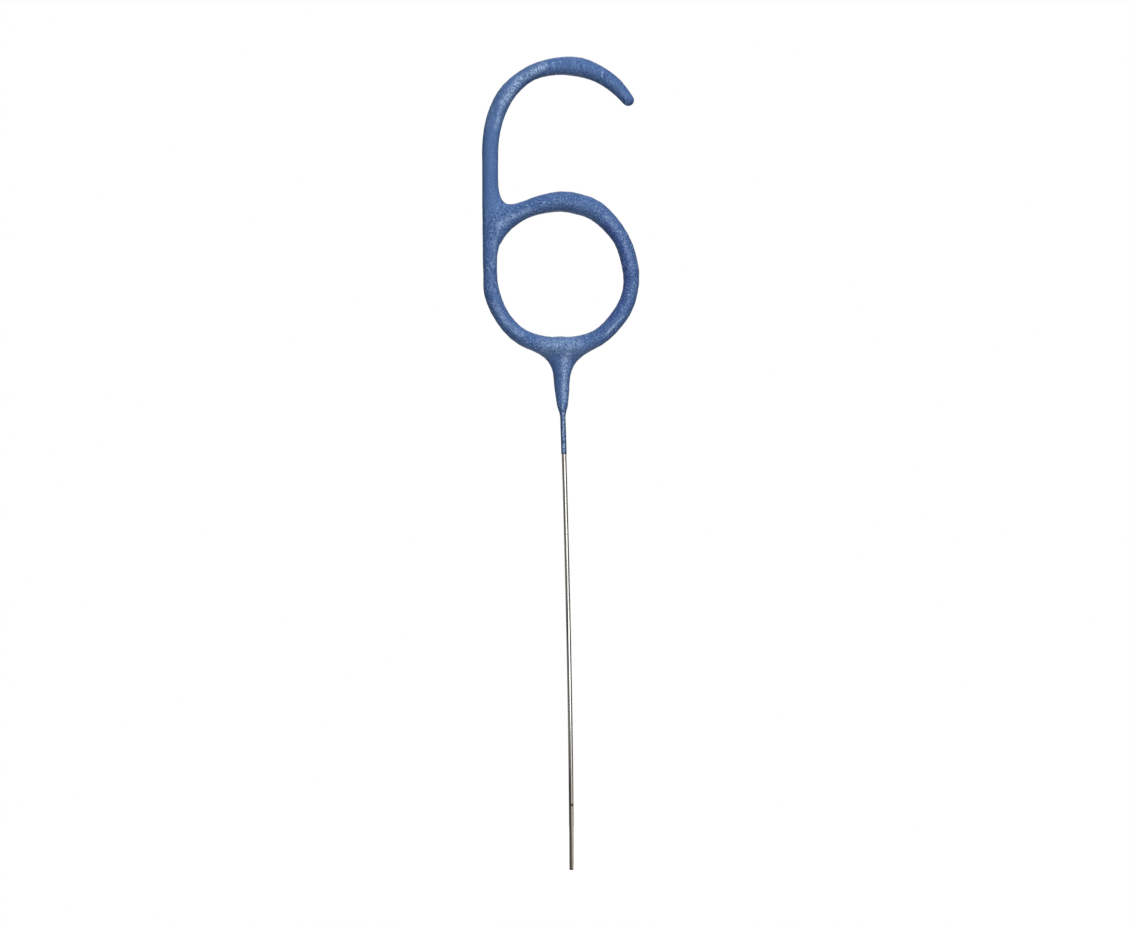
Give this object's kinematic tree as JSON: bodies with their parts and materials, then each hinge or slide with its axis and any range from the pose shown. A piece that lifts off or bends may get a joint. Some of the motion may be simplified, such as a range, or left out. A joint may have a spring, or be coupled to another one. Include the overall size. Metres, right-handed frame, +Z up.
{
  "type": "number sparkler candle",
  "caption": "Wire figure 6 coated in blue sparkler composition, standing on a long bare steel stem that is pushed into a cake.",
  "frame": {"origin": "centre of the stem's cut lower end, the end that is pushed into the cake", "axes": "+Z up along the stem towards the figure, +X towards the open side of the hook as the figure is read from the front, and the figure faces -Y"},
  "size_m": [0.0348, 0.0052, 0.1799],
  "materials": {
    "steel": "drawn wire, bare and slightly dull",
    "mix": "cured grey composition, matt and grainy",
    "blue": "mid-blue dip coat, satin, lumpy and faintly speckled"
  },
  "bodies": {
    "root": {"figure_wire": "steel", "stem_wire": "steel", "sparkler_composition": "mix", "colour_coat": "blue"}
  },
  "joints": []
}
